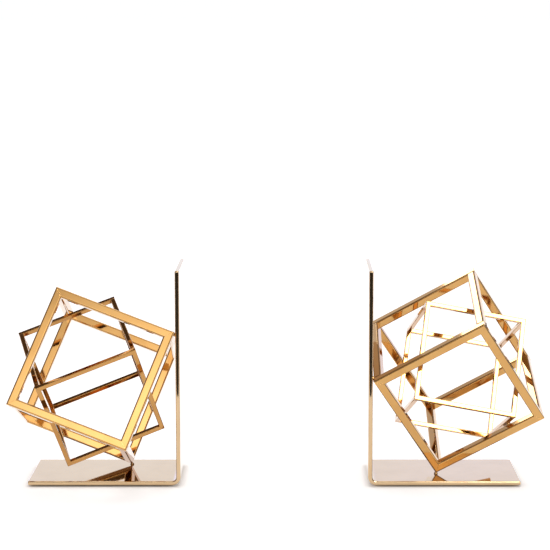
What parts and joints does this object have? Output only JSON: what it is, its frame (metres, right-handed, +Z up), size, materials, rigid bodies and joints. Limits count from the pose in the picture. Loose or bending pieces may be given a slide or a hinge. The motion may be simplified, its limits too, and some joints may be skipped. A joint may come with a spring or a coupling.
{
  "type": "book ends",
  "caption": "Book ends: bent L plates, each carrying an open wire-frame cube balanced on a corner with a smaller one wedged inside it.",
  "frame": {"origin": "centre of the pair's outline on the surface it stands on", "axes": "+X along the row of books from the left book end to the right one, -Y towards the reader, +Z up"},
  "size_m": [0.3756, 0.14, 0.153],
  "materials": {
    "gold_plate": "mirror-polished warm gold plating on bent steel sheet",
    "gold_outer_bar": "mirror-polished warm gold plating on square steel bar",
    "gold_inner_bar": "mirror-polished warm gold plating on thin square steel bar",
    "gold_weld": "dressed weld, plated over, satin",
    "pad_foam": "matt closed-cell foam rubber"
  },
  "bodies": {
    "left_book_end": {"left_base_weld": "gold_weld", "left_cube_tack_welds": "gold_weld", "left_inner_cube_back_bottom_bar": "gold_inner_bar", "left_inner_cube_back_inboard_bar": "gold_inner_bar", "left_inner_cube_back_outboard_bar": "gold_inner_bar", "left_inner_cube_back_top_bar": "gold_inner_bar", "left_inner_cube_bottom_inboard_post": "gold_inner_bar", "left_inner_cube_bottom_outboard_post": "gold_inner_bar", "left_inner_cube_front_bottom_bar": "gold_inner_bar", "left_inner_cube_front_inboard_bar": "gold_inner_bar", "left_inner_cube_front_outboard_bar": "gold_inner_bar", "left_inner_cube_front_top_bar": "gold_inner_bar", "left_inner_cube_top_inboard_post": "gold_inner_bar", "left_inner_cube_top_outboard_post": "gold_inner_bar", "left_l_plate": "gold_plate", "left_non_slip_pad": "pad_foam", "left_outer_cube_back_bottom_bar": "gold_outer_bar", "left_outer_cube_back_inboard_bar": "gold_outer_bar", "left_outer_cube_back_outboard_bar": "gold_outer_bar", "left_outer_cube_back_top_bar": "gold_outer_bar", "left_outer_cube_bottom_inboard_post": "gold_outer_bar", "left_outer_cube_bottom_outboard_post": "gold_outer_bar", "left_outer_cube_front_bottom_bar": "gold_outer_bar", "left_outer_cube_front_inboard_bar": "gold_outer_bar", "left_outer_cube_front_outboard_bar": "gold_outer_bar", "left_outer_cube_front_top_bar": "gold_outer_bar", "left_outer_cube_top_inboard_post": "gold_outer_bar", "left_outer_cube_top_outboard_post": "gold_outer_bar", "left_upright_weld": "gold_weld"},
    "right_book_end": {"right_base_weld": "gold_weld", "right_cube_tack_welds": "gold_weld", "right_inner_cube_back_bottom_bar": "gold_inner_bar", "right_inner_cube_back_inboard_bar": "gold_inner_bar", "right_inner_cube_back_outboard_bar": "gold_inner_bar", "right_inner_cube_back_top_bar": "gold_inner_bar", "right_inner_cube_bottom_inboard_post": "gold_inner_bar", "right_inner_cube_bottom_outboard_post": "gold_inner_bar", "right_inner_cube_front_bottom_bar": "gold_inner_bar", "right_inner_cube_front_inboard_bar": "gold_inner_bar", "right_inner_cube_front_outboard_bar": "gold_inner_bar", "right_inner_cube_front_top_bar": "gold_inner_bar", "right_inner_cube_top_inboard_post": "gold_inner_bar", "right_inner_cube_top_outboard_post": "gold_inner_bar", "right_l_plate": "gold_plate", "right_non_slip_pad": "pad_foam", "right_outer_cube_back_bottom_bar": "gold_outer_bar", "right_outer_cube_back_inboard_bar": "gold_outer_bar", "right_outer_cube_back_outboard_bar": "gold_outer_bar", "right_outer_cube_back_top_bar": "gold_outer_bar", "right_outer_cube_bottom_inboard_post": "gold_outer_bar", "right_outer_cube_bottom_outboard_post": "gold_outer_bar", "right_outer_cube_front_bottom_bar": "gold_outer_bar", "right_outer_cube_front_inboard_bar": "gold_outer_bar", "right_outer_cube_front_outboard_bar": "gold_outer_bar", "right_outer_cube_front_top_bar": "gold_outer_bar", "right_outer_cube_top_inboard_post": "gold_outer_bar", "right_outer_cube_top_outboard_post": "gold_outer_bar", "right_upright_weld": "gold_weld"}
  },
  "joints": [
    {"name": "right_end_slide", "type": "slide", "parent": "left_book_end", "child": "right_book_end", "axis": [1, 0, 0], "range_m": [-0.13, 0.2]}
  ]
}
